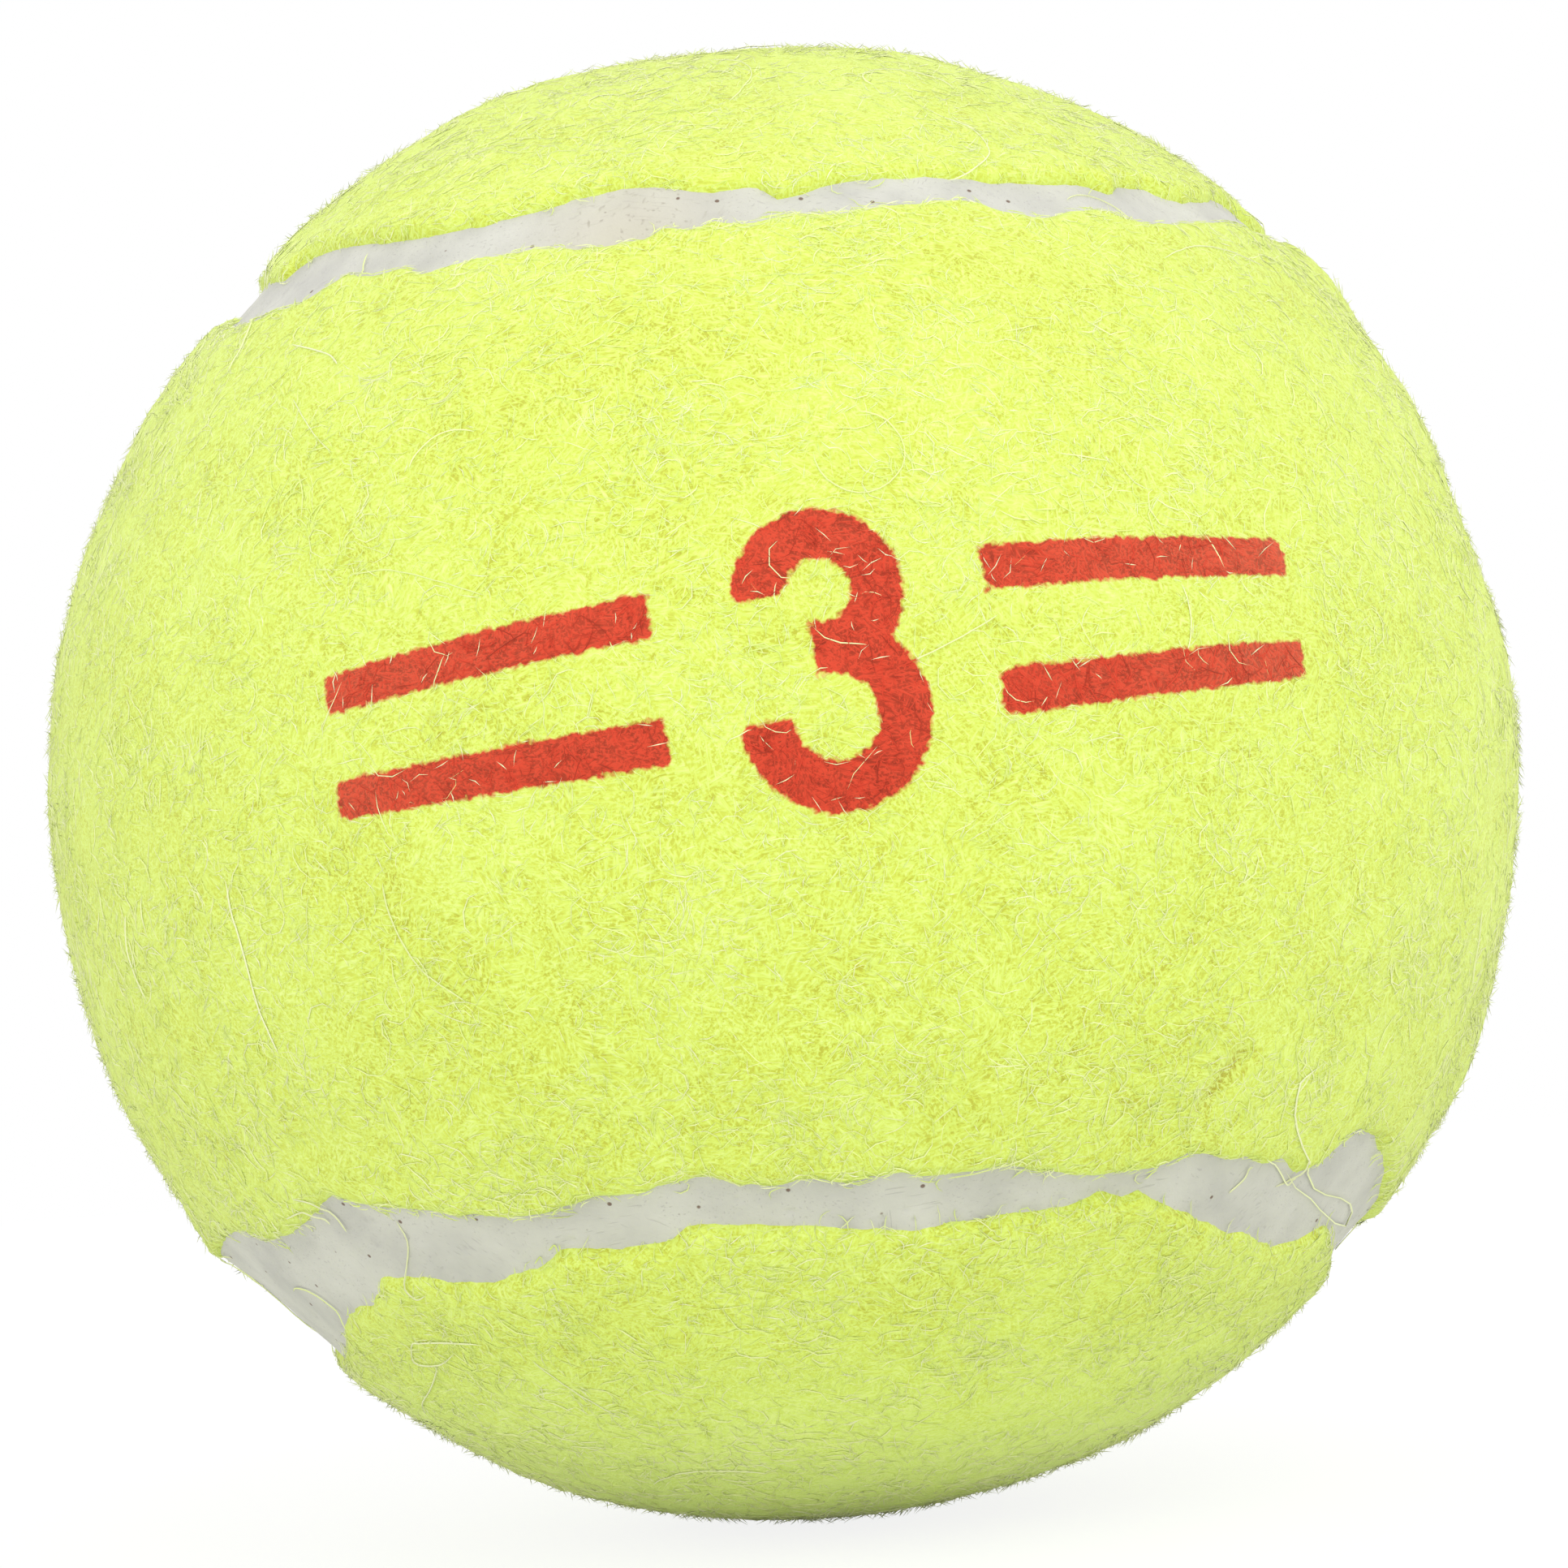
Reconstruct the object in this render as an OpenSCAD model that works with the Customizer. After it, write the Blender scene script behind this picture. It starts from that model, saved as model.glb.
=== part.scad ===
// Tennis ball: a hollow rubber core in two cups, covered by two dumbbell
// panels of felt that one closed, moulded rubber seam joins.
// The origin is the ball's centre. The waist of felt panel A faces -Y and its
// lobes lie at +X and -X. The waist of panel B faces +Y and its lobes lie at
// +Z and -Z. The middle of the seam follows four equal arcs of circles.

/* [Core] */
// Outer diameter of the rubber core
core_d = 60; // [56:0.5:62]
// Wall of the two core cups
core_wall = 4.6; // [3:0.1:6]
// Thickness of the cured rubber solution between the rims of the cups
joint_t = 0.2; // [0.1:0.05:0.6]
// Radius of the bead that the solution leaves along the inside of the joint
bead_r = 0.6; // [0.4:0.1:1]

/* [Cover] */
// Thickness of the cement film on the core
film_t = 0.15; // [0.1:0.05:0.4]
// Thickness of the woven backing cloth of a felt panel
cloth_t = 0.5; // [0.3:0.05:1]
// Thickness of the nap of a felt panel
nap_t = 2.85; // [2:0.05:4]
// Width of a felt panel's waist, along the felt, between the seam's middles
waist_w = 41.3; // [37:0.1:45]
// Radius of the soft shoulder that the nap has along the seam
shoulder_r = 0.8; // [0.4:0.05:1.2]

/* [Seam] */
// Width of the seam between the edges of the felt
seam_w = 3; // [2:0.1:5]
// Depth of the middle of the seam below the surface of the felt
seam_sink = 0.8; // [0.4:0.05:1.2]
// Rise of the seam's edges, where it climbs the felt, above its middle
seam_rise = 0.15; // [0.05:0.05:0.2]

/* [Hidden] */
$fn = 120;

// Overrun of every cut past what it cuts
over = 0.2;

// Radii from the hollow outwards
core_r = core_d / 2;
hollow_r = core_r - core_wall;
film_r = core_r + film_t;
cloth_r = film_r + cloth_t;
ball_r = cloth_r + nap_t;
seam_r = ball_r - seam_sink;
far_r = ball_r + over;
half_hollow_r = hollow_r / 2;

// The half-angle of a panel's waist, the tilt of the arcs' axes that gives it,
// and the polar angle of an arc about its axis
root_half_share = sqrt(0.5);
waist_a = waist_w / 2 / ball_r * 180 / PI;
tilt = atan((root_half_share - sin(waist_a)) / cos(waist_a));
arc_a = acos(cos(tilt) * root_half_share);

// The angle from the seam's middle to its edges, the height at which its
// section is cut off, and the radius of the shallow trough along its top
edge_a = atan(seam_w / 2 / (seam_r + seam_rise));
strip_top = seam_r + 2 * seam_rise;
trough_r = (seam_w * seam_w / 4 + seam_rise * seam_rise) / (2 * seam_rise);

// The front arcs and the back arcs of the seam differ by a hairline, so that
// their faces meet at a small step and never lie on each other
hairline_share = 0.01;
hairline = seam_w * hairline_share;
hairline_a = hairline / ball_r * 180 / PI;

// The rounding of a shoulder stands a little proud of the felt's surface, so
// that it crosses the surface instead of only touching it
shoulder_share = 0.95;
shoulder_in = shoulder_r * shoulder_share;
shoulder_from = ball_r - shoulder_in;

// Colours of the ball's materials
core_grey = "#4a4b4d";
joint_grey = "#33363a";
film_cream = "#d9d2ba";
cloth_cream = "#e6e6c4";
felt_yellow = "#d6f04e";
seam_grey = "#cfcec9";

// A closed shell between two radii. Its poles lie at the two waists and its
// meridian at +Z, clear of the places where the seam's arcs meet.
module shell(outer_r, inner_r) {
    rotate([90, 0, 0])
        rotate([0, 0, 90])
            difference() {
                sphere(r = outer_r);
                sphere(r = inner_r);
            }
}

// The halves of space in front of the middle plane and behind it
module front_half() {
    translate([-2 * far_r, -4 * far_r, -2 * far_r]) cube(4 * far_r);
}

module back_half() {
    translate([-2 * far_r, 0, -2 * far_r]) cube(4 * far_r);
}

// A shape and its copy half a turn about Y
module half_turn_pair() {
    children();
    rotate([0, 180, 0]) children();
}

// The axis of the upper front arc, and of the back arc round the lobe at +X
module on_front_axis() {
    rotate([tilt, 0, 0]) children();
}

module on_lobe_axis() {
    rotate([0, 90, 0]) rotate([-tilt, 0, 0]) children();
}

// The turn and mirror that take panel A to panel B and the seam to itself
module to_panel_b() {
    mirror([0, 1, 0]) rotate([0, 90, 0]) children();
}

// A cone about Z with its tip at the ball's centre, from the hollow of the
// core to outside the felt, which cuts a felt edge square to the surface
module edge_cone(half_a) {
    rotate([0, 0, 90])
        translate([0, 0, half_hollow_r])
            cylinder(
                h = far_r - half_hollow_r,
                r1 = half_hollow_r * tan(half_a),
                r2 = far_r * tan(half_a)
            );
}

// The ring that rounds off a felt edge at one angle from Z. The felt lies
// outside the edge where side is 1, and inside it where side is -1.
module shoulder_ring(half_a, side) {
    rotate_extrude()
        rotate(-half_a)
            difference() {
                polygon([
                    [-side * over, shoulder_from],
                    [side * shoulder_in, shoulder_from],
                    [side * shoulder_in, far_r],
                    [-side * over, far_r]
                ]);
                translate([side * (shoulder_r + hairline), shoulder_from]) circle(r = shoulder_r);
            }
}

// The front of panel A: the shell without what lies inside the front arcs
module front_piece(outer_r, inner_r, edge) {
    intersection() {
        difference() {
            shell(outer_r, inner_r);
            half_turn_pair() on_front_axis() edge_cone(edge);
            half_turn_pair() on_front_axis() shoulder_ring(edge, 1);
        }
        front_half();
    }
}

// The back of one lobe of panel A: what lies inside a back arc
module lobe_piece(outer_r, inner_r, edge) {
    intersection() {
        difference() {
            intersection() {
                shell(outer_r, inner_r);
                on_lobe_axis() edge_cone(edge);
            }
            on_lobe_axis() shoulder_ring(edge, -1);
        }
        back_half();
    }
}

// One layer of panel A between two radii
module panel(outer_r, inner_r) {
    front_piece(outer_r, inner_r, arc_a + edge_a);
    half_turn_pair() lobe_piece(outer_r, inner_r, arc_a - edge_a - hairline_a);
}

// The seam's section: a wedge from the film on the core up to a shallow trough
module strip_section(inset) {
    rotate(-arc_a)
        difference() {
            polygon([
                [inset - hollow_r * tan(edge_a), hollow_r],
                [hollow_r * tan(edge_a) - inset, hollow_r],
                [strip_top * tan(edge_a) - inset, strip_top],
                [inset - strip_top * tan(edge_a), strip_top]
            ]);
            circle(r = film_r);
            translate([0, seam_r + trough_r - inset]) circle(r = trough_r);
        }
}

// The two front arcs of the seam
module front_strip(inset) {
    intersection() {
        half_turn_pair() on_front_axis() rotate_extrude() strip_section(inset);
        front_half();
    }
}

// Half of the core, above the joint
module core_cup() {
    difference() {
        shell(core_r, hollow_r);
        translate([-core_d, -core_d, joint_t / 2 - 2 * core_d]) cube(2 * core_d);
    }
}

// The section of the joint: a thin web between the rims, and its bead
module joint_section() {
    intersection() {
        circle(r = core_r);
        translate([half_hollow_r, -core_r]) square(core_d);
        union() {
            translate([hollow_r - bead_r / 2, -joint_t / 2]) square([core_r, joint_t]);
            intersection() {
                translate([hollow_r, 0]) circle(r = bead_r);
                circle(r = hollow_r);
            }
        }
    }
}

module core_cup_upper() {
    color(core_grey) core_cup();
}

module core_cup_lower() {
    color(core_grey) mirror([0, 0, 1]) core_cup();
}

module core_joint_ring() {
    color(joint_grey) rotate_extrude() joint_section();
}

module cover_cement() {
    color(film_cream) shell(film_r, core_r);
}

module backing_cloth_a() {
    color(cloth_cream) panel(cloth_r, film_r);
}

module backing_cloth_b() {
    color(cloth_cream) to_panel_b() panel(cloth_r, film_r);
}

module felt_nap_a() {
    color(felt_yellow) panel(ball_r, cloth_r);
}

module felt_nap_b() {
    color(felt_yellow) to_panel_b() panel(ball_r, cloth_r);
}

module seam_strip() {
    color(seam_grey) {
        front_strip(hairline);
        to_panel_b() front_strip(0);
    }
}

core_cup_upper();
core_cup_lower();
core_joint_ring();
cover_cement();
backing_cloth_a();
backing_cloth_b();
felt_nap_a();
felt_nap_b();
seam_strip();
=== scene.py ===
# Looks of the tennis ball: two panels of needled felt with their loose fibres, the moulded rubber
# seam between them, the materials of the hidden core, and the photograph's camera and light.
import math

import bpy
import numpy as np
from mathutils import Matrix, Vector


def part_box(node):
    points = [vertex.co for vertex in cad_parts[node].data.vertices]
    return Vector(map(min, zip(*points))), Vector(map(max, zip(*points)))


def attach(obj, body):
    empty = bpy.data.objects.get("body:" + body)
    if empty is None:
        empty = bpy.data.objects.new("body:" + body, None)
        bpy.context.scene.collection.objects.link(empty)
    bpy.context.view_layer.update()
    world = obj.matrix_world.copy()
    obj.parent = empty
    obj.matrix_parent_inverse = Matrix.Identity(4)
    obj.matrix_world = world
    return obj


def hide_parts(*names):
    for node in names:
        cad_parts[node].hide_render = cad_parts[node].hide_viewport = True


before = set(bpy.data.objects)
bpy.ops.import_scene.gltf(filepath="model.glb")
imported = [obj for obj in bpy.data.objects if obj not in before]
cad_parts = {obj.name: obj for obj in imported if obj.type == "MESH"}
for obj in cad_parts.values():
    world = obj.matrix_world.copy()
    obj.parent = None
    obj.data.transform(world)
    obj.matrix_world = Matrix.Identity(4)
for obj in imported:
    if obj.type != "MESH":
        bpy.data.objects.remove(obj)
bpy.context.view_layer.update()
bpy.ops.object.select_all(action="DESELECT")

MM = 0.001

# Sizes that the CAD model gives
BALL_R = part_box("felt_nap_a")[1].x
FLOOR_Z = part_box("felt_nap_b")[0].z
CLOTH_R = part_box("backing_cloth_a")[1].x
FILM_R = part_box("cover_cement")[1].z

# Sizes of the CAD model that its boxes don't give: the depth of the seam below the felt, the soft
# shoulder of a felt edge, and the width of a panel's waist
SEAM_R = BALL_R - 0.8 * MM
SHOULDER_R = 0.8 * MM
WAIST_W = 41.3 * MM

# The middle of the seam follows four equal arcs of circles, as in the CAD model
WAIST_ANGLE = WAIST_W / 2 / BALL_R
TILT = math.atan((math.sqrt(0.5) - math.sin(WAIST_ANGLE)) / math.cos(WAIST_ANGLE))
ARC_ANGLE = math.acos(math.cos(TILT) * math.sqrt(0.5))
ARC_R = BALL_R * math.sin(ARC_ANGLE)
HALF_TURN = math.atan2(math.sqrt(0.5), -math.sqrt(0.5) * math.sin(TILT))
HALF_ARC = ARC_R * HALF_TURN
TOP, BOTTOM, RIGHT, LEFT = range(4)
SIN, COS = math.sin(TILT), math.cos(TILT)
ARC_AXIS = np.array([(0, -SIN, COS), (0, -SIN, -COS), (COS, SIN, 0), (-COS, SIN, 0)])
ARC_MIDDLE = np.array([(0, -COS, -SIN), (0, -COS, SIN), (-SIN, COS, 0), (SIN, COS, 0)])
ARC_ALONG = np.array([(1, 0, 0), (1, 0, 0), (0, 0, 1), (0, 0, 1)])
# Panel A lies outside the front arcs' circles and inside those of the back arcs
ARC_SIDE = np.array([1, 1, -1, -1])

# The camera of the photograph, which sees the ball a little from below: the picture's side and the
# ball's radius in pixels, the camera's distance in ball radii, its direction from the ball, its
# upward direction, and its sensor's width in mm
IMAGE_SIDE = 1932
BALL_PIXELS = 912
CAMERA_SHARE = 3.75
CAMERA_SIDE = Vector((0.0215, -0.9911, -0.1316)).normalized()
CAMERA_UP = Vector((0.0714, -0.1297, 0.9890)).normalized()
SENSOR = 36.0
FOCAL_PIXELS = BALL_PIXELS * math.sqrt(CAMERA_SHARE ** 2 - 1)

# Where the edges of the felt lie beside the two arcs that the photograph shows: mm along the arc
# from its middle towards +X, and mm from the seam's middle towards panel A
TOP_EDGE_A = (
    (-41.4, 1.5), (-34, 1.0), (-28.5, 0.8), (-26, 1.9), (-22.8, 3.0), (-21.5, 2.85),
    (-17.8, 2.7), (-16.8, 2.3), (-15.8, 1.5), (-14.3, 2.1), (-12.8, 1.9), (-11.8, 2.5),
    (-9.5, 2.0), (-7.3, 1.9), (-4.5, 2.3), (-3, 2.0), (-2.4, 1.5), (-1.5, 1.8), (-0.5, 1.3),
    (0.6, 1.7), (2, 1.25), (3.6, 1.5), (5, 1.1), (7.4, 0.8),
    (9.4, 0.8), (10.2, 1.4), (11.8, 1.9), (14.8, 1.15), (17, 2.0), (20.8, 1.4), (23.5, 0.9),
    (25.2, 1.3), (27.1, 1.45), (30, 1.2), (34, 1.2), (41.4, 1.5),
)
TOP_EDGE_B = (
    (-41.4, -1.5), (-34, -1.7), (-28.3, -1.9), (-25.3, -0.4), (-22.4, 0.3), (-21.5, -0.4),
    (-20, -0.8), (-17, -0.6), (-15, -0.2), (-11.5, 0.1), (-10.3, 0.1), (-8.6, -0.2),
    (-6, -1.0), (-4.3, -1.25), (-3, -1.1), (-1.2, -0.5), (1.3, -0.6), (1.9, 0.1), (3, -0.1),
    (3.9, -0.6), (5.5, -0.8), (9.5, -0.85),
    (10.7, -0.5), (16, -0.6), (16.8, 0), (18, -0.8), (19.5, -0.8), (20.3, -0.3), (22.4, -0.3),
    (26.5, -1.15), (28.5, -0.7), (30, 0.1), (31.5, 0.6), (33, 0.2), (36, -1.1), (41.4, -1.5),
)
BOTTOM_EDGE_A = (
    (-41.4, 1.5), (-36, 3.2), (-29.3, 3.3), (-26.9, 3.0), (-24.8, 2.2), (-23, 1.95), (-21, 2.4),
    (-18.5, 3.2), (-17.4, 2.5), (-15.2, 1.8), (-10.8, 0.7), (-9.2, 0.8), (-7.3, 1.2), (-5.7, 1.05),
    (-4.4, 1.5), (-3.2, 1.65), (-2, 1.1), (-0.9, 0.95), (0.5, 1.25), (1.6, 0.9), (3.6, 1.25),
    (4.8, 0.95), (7.5, 1.35), (11, 0.85), (13, 1.1), (14.2, 1.5), (14.9, 2.1), (17, 1.8), (18, 2.0),
    (19.2, 1.65), (20.1, 2.1), (21.5, 1.5), (22.6, 2.0), (23.3, 3.3), (24.4, 3.9), (25.7, 3.9),
    (28.6, 3.2), (32.3, 2.0), (36, 1.4), (41.4, 1.5),
)
BOTTOM_EDGE_B = (
    (-41.4, -1.5), (-36, -3.8), (-31.4, -3.9), (-28.4, -3.5), (-24.8, -2.1), (-22.8, -1.8),
    (-21.8, -2.0), (-20.1, -1.3), (-19.5, -0.8), (-16.8, -1.05), (-15.6, -1.6), (-13.8, -1.9),
    (-11, -1.65), (-9.7, -0.9), (-7.3, -1.2), (-5, -1.0), (-4.2, -0.35), (-1.5, -0.65), (1.9, -1.0),
    (4.4, -1.25), (7, -0.9), (9, -0.65), (11, -0.25), (11.8, 0.35), (13, 0), (13.5, 0.3),
    (15.5, -0.3), (17.7, -0.9), (19.5, -1.3), (20.5, -1.15), (23.5, -1.8), (25.7, -1.2),
    (27.1, -0.35), (28.5, -0.5), (31.3, -1.4), (36.3, -2.0), (41.4, -1.5),
)
# The photograph doesn't show the back, where noise alone makes the edges ragged
HIDDEN_EDGE_A = ((-41.4, 1.5), (41.4, 1.5))
HIDDEN_EDGE_B = ((-41.4, -1.5), (41.4, -1.5))
EDGES_A = (TOP_EDGE_A, BOTTOM_EDGE_A, HIDDEN_EDGE_A, HIDDEN_EDGE_A)
EDGES_B = (TOP_EDGE_B, BOTTOM_EDGE_B, HIDDEN_EDGE_B, HIDDEN_EDGE_B)

# Places of the photograph where the ball is pressed in, or swells where the depth is below zero:
# pixel, depth and half width in mm. Most lie on the outline.
HOLLOWS = (
    ((1834, 649), 0.65, 3.2),
    ((1823, 1312), -0.3, 3.0),
    ((1630, 322), -0.4, 2.2),
    ((1399, 148), -0.3, 5.5),
    ((1126, 54), -0.2, 4.5),
    ((589, 120), -0.3, 6.0),
    ((272, 352), 0.45, 2.6),
    ((256, 1560), -0.3, 2.0),
    ((710, 1854), -0.25, 5.0),
)
# A short crease in the felt, as pixels, with its depth and half width in mm
CREASE = (
    (1537, 1303), (1530, 1313), (1522, 1323), (1514, 1333), (1506, 1343), (1498, 1352), (1490, 1362),
)
CREASE_DEPTH = 0.2
CREASE_HALF = 0.4

# The printed mark is a plain numeral between two pairs of bars, in mm about its middle
MARK_PIXEL = (1020, 800)
MARK_RISE = math.radians(9)
NUMERAL_STROKE = 1.9
UPPER_BOWL_R = 2.1
LOWER_BOWL_R = 2.45
BOWL_OVERLAP = 0.1
OPENING_X = -0.5
OPENING_HALF = 2.2
BAR_MIDDLE = 12.5
BAR_HALF = 6.5
BAR_THICK = 1.7
BAR_APART = 4.6
# Past this many mm from the mark it makes no difference how far away it is
NO_INK = 9.0

# Single pale fibres that the photograph shows on the felt and across the seam, as pixels
STRAY_FIBRES = (
    (
        (1635, 1306), (1609, 1326), (1602, 1332), (1597, 1350), (1594, 1369), (1597, 1388),
        (1601, 1407), (1611, 1425), (1616, 1442), (1617, 1459), (1622, 1467), (1641, 1473),
        (1655, 1476), (1662, 1484), (1662, 1495), (1654, 1513), (1637, 1501), (1622, 1487),
        (1611, 1474), (1593, 1461), (1584, 1442),
    ),
    ((1513, 1470), (1532, 1451), (1544, 1437)),
    ((1560, 1428), (1578, 1441), (1584, 1458), (1594, 1449)),
    ((1570, 1462), (1588, 1452), (1606, 1440), (1612, 1428)),
    (
        (483, 1505), (501, 1527), (503, 1545), (502, 1561), (506, 1577), (510, 1595), (517, 1599),
        (527, 1592),
    ),
    ((360, 1478), (381, 1482), (400, 1490), (416, 1500), (430, 1517)),
    ((352, 1502), (372, 1494), (392, 1497), (410, 1507)),
    (
        (595, 1657), (561, 1654), (519, 1653), (509, 1655), (508, 1667), (512, 1676), (528, 1681),
        (547, 1678), (561, 1665),
    ),
    ((538, 1683), (538, 1692), (531, 1711), (522, 1727), (526, 1740)),
    ((360, 425), (385, 431), (408, 439), (418, 451)),
)
# Short bits of fibre that stick to the seam, as pixels
SEAM_BITS = (
    ((676, 1541), (684, 1533), (691, 1538)),
    ((690, 1531), (697, 1540), (705, 1536)),
    ((660, 1555), (666, 1548), (672, 1553)),
    ((668, 1560), (676, 1555), (683, 1559)),
)

# Colours, as sRGB hex
# The gap colour is partly the felt's deeper tone and partly painted shade between the strands
FELT_GAP_SHADE = "c4c640"
FELT_DEEP = "dae95a"
FELT_BRIGHT = "e4f878"
FELT_PALE = "f0ff98"
# The crease's colour is painted shade, darker than the felt in the crease
FELT_CREASE_SHADE = "b4a82c"
SHEEN_PALE = "f0ffc4"
INK_DARK = "a82a18"
INK_RED = "e0402a"
MATTED_COLOURS = ("e7fb7a", "efff8e", "f6ffa6")
CURLED_COLOURS = ("eafc84", "f3ffa0", "faffc0")
RAISED_COLOURS = ("ebfd8c", "f4ffa8", "fcffd0")
SEAM_SHADED = "c6c5bf"
SEAM_GREY = "d3d2ca"
SEAM_LIGHT = "dddcd4"
SEAM_SCRATCH = "b9b6b2"
SEAM_STAIN = "d2ccb8"
SEAM_TEAR = "a09888"
PINHOLE_BROWN = "6a4a38"
CORE_BLACKS = ("232324", "3a3938")
JOINT_BROWNS = ("2e2722", "4a4038")
CEMENT_AMBERS = ("a8916c", "cbb893")
COTTON_CREAMS = ("b9a97c", "e9dfb6")
FLOOR_WHITE = "f4f4f4"

# Painted light makes the underside paler: from this height down, by this much of the felt's range of
# tones
PAINTED_LIGHT_TOP = -24 * MM
PAINTED_LIGHT_TONE = 0.5
# Width of a yarn of the backing cloth
YARN = 0.5 * MM

# The side of the seam on which a panel lies
SIGN = {"a": 1, "b": -1}

# The nap's mean radius, less than the CAD model's because lumps and fibres stand on it, the divisions
# of the icospheres for its outside and its inside, and how far past the felt's edge each is cut
NAP_R = BALL_R - 0.25 * MM
NAP_DIVISIONS = 8
CLOTH_DIVISIONS = 6
NAP_OVERRUN = 1.3 * MM
CLOTH_OVERRUN = 0.3 * MM

# Noise, a row for each size: how far apart its lumps are and how high, in mm, and its seed
FELT_LUMPS = ((13, 0.15, 21), (5, 0.07, 22))
FELT_TUFTS = ((2, 0.045, 23), (0.9, 0.035, 24))
SEAM_WAVES = ((7, 0.10, 31),)
SEAM_GRAIN = ((1.6, 0.03, 32), (0.6, 0.012, 33))
# The felt's edges have seeds of their own. The photograph gives the slow waves of the front edges,
# so only those of the back are noise, and they start over the last few millimetres of the front
EDGE_SEEDS = {"a": 11, "b": 12}
EDGE_SLOW = ((6, 0.5, 0), (2.5, 0.35, 0))
EDGE_FINE = ((1.1, 0.12, 2), (0.5, 0.08, 4))
EDGE_START = 6 * MM
# How many slopes the noise chooses from, the factors that scatter its cells over them, how far a
# seed's noise is shifted, in lumps, and the factor that brings its height to about 1
NOISE_SLOPES = 4096
NOISE_SPREAD = (73856093, 19349663, 83492791)
NOISE_SHIFT = 0.37
NOISE_GAIN = 1.6

# The seam's band: the rubber climbs the felt's cut edge by the lip, reaches under the felt, and goes
# steeply down its flank. Round its underside: share of the way across, and radius
SEAM_LIP = 0.2 * MM
SEAM_UNDER = 0.4 * MM
SEAM_FLANK_R = SEAM_R - 1.2 * MM
SEAM_UNDERSIDE = (
    (0.92, SEAM_FLANK_R), (0.88, FILM_R), (0.5, FILM_R), (0.12, FILM_R), (0.08, SEAM_FLANK_R),
)
# Stations along the whole seam, and points across its top at each
SEAM_STATIONS = 2600
SEAM_ACROSS = 26
# The stretch that is torn rough: pixel, half width in mm, and how many times rougher it is
ROUGH_PIXEL = (762, 264)
ROUGH_WIDE = 3.6
ROUGH_GAIN = 3
# Pits that burst bubbles left in the seam: number, shares of the way across between which they lie,
# smallest and largest half width in mm, depth, and the half widths that their slopes reach
SEAM_PITS = 260
PIT_SEED = 5
PIT_PLACES = (0.1, 0.9)
PIT_WIDTHS = (0.07, 0.17)
PIT_DEPTH = 0.1 * MM
PIT_REACH = 4

# Loose fibres of one panel, by layer: how many, the points along each, the shortest and longest in
# mm, curl per mm, mean height of the arch and mean rise of the free end in mm, and thickness in mm
FIBRE_LAYERS = {
    "matted": (16500, 4, 0.8, 2.0, 1.0, 0.015, 0.0, 0.06),
    "curled": (11000, 5, 1.0, 2.6, 1.5, 0.03, 0.03, 0.048),
    "raised": (33000, 3, 0.4, 1.1, 0.9, 0.0, 0.18, 0.05),
    "fringe": (1000, 5, 0.4, 1.3, 2.0, 0.02, 0.03, 0.045),
}
LAYER_SEED = 100
# The fringe starts within this distance of the felt's edge. All fibres start in tufts and lead out of
# them, with some chance in their headings, and their roots are sunk a little into the nap
FRINGE_REACH = 0.6 * MM
TUFT_FIBRES = 14
TUFT_SPREAD = 0.55 * MM
HEADING_SPREAD = 0.5
ROOT_DEPTH = 0.02 * MM
# How much a fibre's curl changes along it, as a share, and its sharpest turn at a point in radians,
# so that none with few points closes to a polygon
CURL_CHANGE = 0.35
SHARPEST_TURN = 0.75
# Powers that make short fibres more common than long ones, and steepen a fibre's rise to its free end
LENGTH_POWER = 1.5
RISE_POWER = 1.3
# A fibre that crosses the felt's edge comes down to the seam between these distances outside and
# inside the edge
SLOPE_OUT = 0.3 * MM
SLOPE_IN = 0.5 * MM
# From the thinnest to the thickest fibre, as shares of the mean, and the thickness near the ends
THICKNESS_SHARES = (0.7, 1.25)
END_SHARE = 0.8
# A fibre is left out where the crease under it is deeper than a share drawn from this range
BRIDGE_SHARES = (0.3, 2.0)

# Long single fibres that are scattered over the ball: number, points along each, shortest and
# longest in mm, lowest and highest above the surface in mm, curl, mean thickness, shares of it, tones
STRAY_SEED = 77
STRAY_COUNT = 90
STRAY_POINTS = 20
STRAY_LENGTHS = (3, 8)
STRAY_LIFTS = (0.03, 0.1)
STRAY_CURL = 0.45 / MM
STRAY_THICK = 0.06 * MM
STRAY_SHARES = (0.75, 1.1)
STRAY_TONES = (0.5, 1)
# Those that the photograph shows, and the bits on the seam: height at the start and the end in mm,
# and tone
SEEN_LIFTS = (0.04, 0.12)
SEEN_TONE = 1.0
SEEN_THICK = 0.072 * MM
BIT_LIFTS = (0.03, 0.05)
BIT_TONE = 0.1
# How far a tube's sides are turned, so that a fibre that stands straight up has some too
SIDE_TURN = 0.31
# How much a fibre is shaded like the nap under it, beside its own round shape
NAP_SHADE = 1.2
# A fibre's own square in the bake map, in shares of it: the gap round it, the left of its first
# side's strip, and the width of a strip
MAP_GAP = 0.08
MAP_LEFT = 0.1
MAP_STRIP = 0.26

# Square soft lamps: place, side and watts
LAMPS = {
    "key_lamp": ((0.25, -0.45, 0.55), 0.5, 1.75),
    "left_lamp": ((-0.5, -0.4, 0.25), 0.5, 0.45),
    "low_lamp": ((0.05, -0.6, 0.14), 0.3, 0.3),
}
# Strength of the light that the white surround gives
WORLD_LIGHT = 0.76
# The floor's radius. As the camera sees it, it is nearly white by itself, with a share of its lit
# surface, which keeps the ball's shadow
FLOOR_R = 1.5
WHITE_SHARE = 0.86
LIT_SHARE = 0.2


def unit_rows(rows):
    """Each row, scaled to a length of 1."""
    return rows / np.maximum(np.linalg.norm(rows, axis=-1, keepdims=True), 1e-12)


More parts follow.
